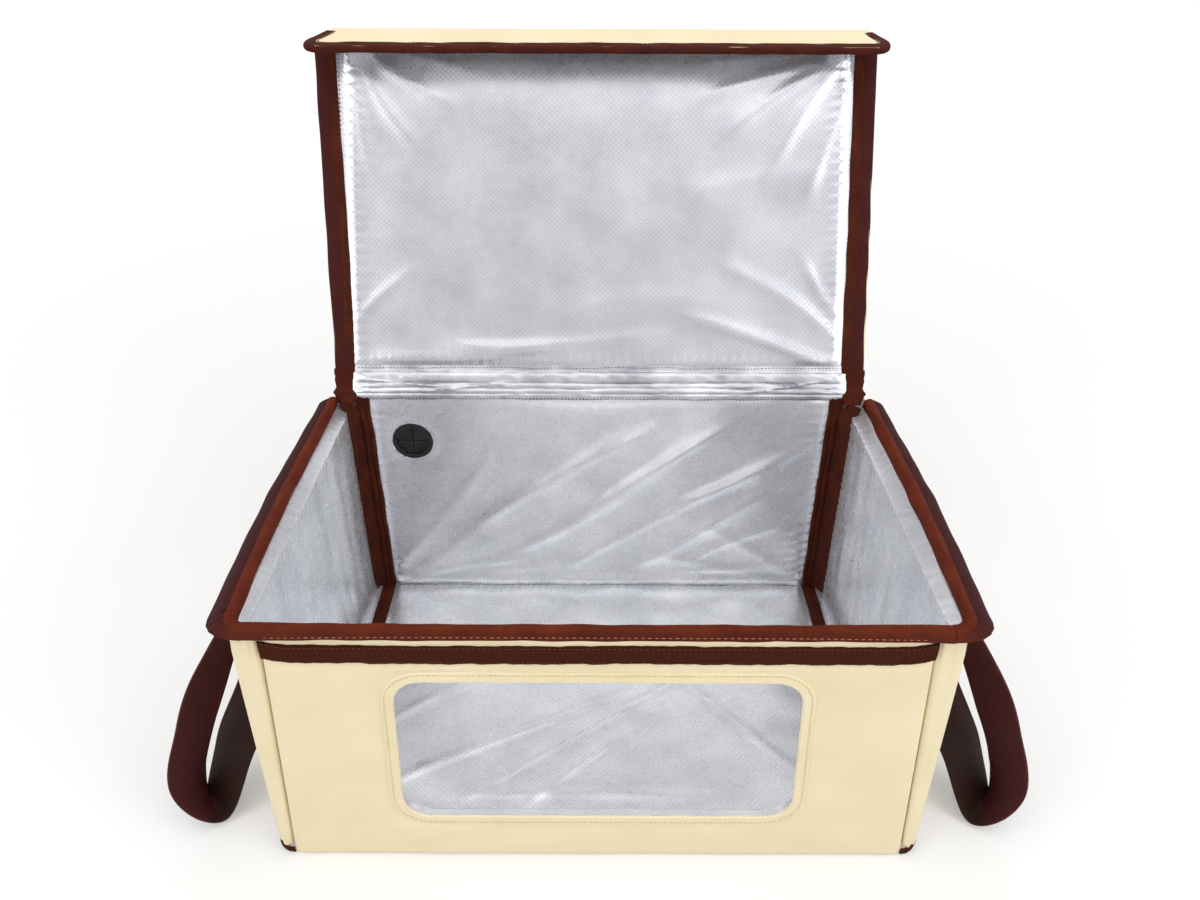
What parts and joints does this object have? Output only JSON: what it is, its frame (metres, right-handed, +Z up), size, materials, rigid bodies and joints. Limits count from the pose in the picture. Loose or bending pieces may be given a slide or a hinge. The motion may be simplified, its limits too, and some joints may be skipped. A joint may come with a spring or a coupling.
{
  "type": "folding dough proofer",
  "caption": "Folding fabric proofing box with a foil lining, bound edges, a clear front window, a hinged lid with a hook-tape flap, folding walls and webbing side handles.",
  "frame": {"origin": "centre of the rectangular underside, on the surface the box stands on", "axes": "+X to the right and along the longest side, -Y out of the front with the window, +Z up"},
  "size_m": [0.5994, 0.4172, 0.4816],
  "materials": {
    "cream_cloth": "coated oxford weave",
    "brown_binding": "woven tape",
    "webbing": "ribbed webbing",
    "loop_tape": "fuzzy loop pile",
    "foil": "aluminised foil laminate",
    "foam": "closed-cell foam board",
    "film": "clear flexible film",
    "rubber": "moulded black rubber"
  },
  "bodies": {
    "base": {"back_binding_left": "brown_binding", "back_binding_right": "brown_binding", "back_board": "foam", "back_cover": "cream_cloth", "back_lining": "foil", "corner_foot_left": "brown_binding", "corner_foot_right": "brown_binding", "floor_binding_left": "brown_binding", "floor_binding_right": "brown_binding", "floor_board": "foam", "floor_cover": "cream_cloth", "floor_lining": "foil", "front_corner_left": "cream_cloth", "front_corner_right": "cream_cloth", "front_skirt_board": "foam", "front_skirt_cover": "cream_cloth", "front_skirt_lining": "foil", "grommet_petals": "rubber", "grommet_ring": "rubber", "rim_corner_left": "brown_binding", "rim_corner_right": "brown_binding"},
    "left_wall": {"left_wall_cover": "cream_cloth", "left_wall_board": "foam", "left_wall_lining": "foil", "left_wall_rim": "brown_binding", "left_wall_corner_tape": "brown_binding", "left_handle_tab_front": "webbing", "left_handle_tab_rear": "webbing"},
    "right_wall": {"right_wall_cover": "cream_cloth", "right_wall_board": "foam", "right_wall_lining": "foil", "right_wall_rim": "brown_binding", "right_wall_corner_tape": "brown_binding", "right_handle_tab_front": "webbing", "right_handle_tab_rear": "webbing"},
    "front_wall": {"front_cover": "cream_cloth", "front_board": "foam", "front_lining": "foil", "window_film": "film", "window_trim": "cream_cloth", "loop_strip": "loop_tape", "front_rim_binding": "brown_binding"},
    "lid": {"lid_cover": "cream_cloth", "lid_board": "foam", "lid_lining": "foil", "lid_binding_left": "brown_binding", "lid_binding_right": "brown_binding", "lid_spine": "foil"},
    "lid_flap": {"flap_lining": "foil", "flap_board": "foam", "flap_cover": "cream_cloth", "flap_binding": "brown_binding", "hook_strip": "loop_tape"},
    "left_handle": {"left_handle": "webbing"},
    "right_handle": {"right_handle": "webbing"}
  },
  "joints": [
    {"name": "left_wall_fold", "type": "hinge", "parent": "base", "child": "left_wall", "pos_m": [-0.213, 0, 0.011], "axis": [0, -1, 0], "range_deg": [-90, 0]},
    {"name": "right_wall_fold", "type": "hinge", "parent": "base", "child": "right_wall", "pos_m": [0.213, 0, 0.011], "axis": [0, 1, 0], "range_deg": [-90, 0]},
    {"name": "front_wall_fold", "type": "hinge", "parent": "base", "child": "front_wall", "pos_m": [0, -0.135, 0.032], "axis": [-1, 0, 0], "range_deg": [0, 90]},
    {"name": "lid_hinge", "type": "hinge", "parent": "base", "child": "lid", "pos_m": [0, 0.138, 0.2155], "axis": [-1, 0, 0], "range_deg": [-115, 65]},
    {"name": "flap_hinge", "type": "hinge", "parent": "lid", "child": "lid_flap", "pos_m": [0, 0.26056, 0.47833], "axis": [-1, 0, 0], "range_deg": [-25, 45]},
    {"name": "left_handle_swing", "type": "hinge", "parent": "left_wall", "child": "left_handle", "pos_m": [-0.2272, 0, 0.1898], "axis": [0, 1, 0], "range_deg": [0, 95]},
    {"name": "right_handle_swing", "type": "hinge", "parent": "right_wall", "child": "right_handle", "pos_m": [0.2272, 0, 0.1898], "axis": [0, -1, 0], "range_deg": [0, 95]}
  ],
  "couplings": [
    {"joint": "flap_hinge", "follows": "lid_hinge", "ratio": -0.30435}
  ]
}
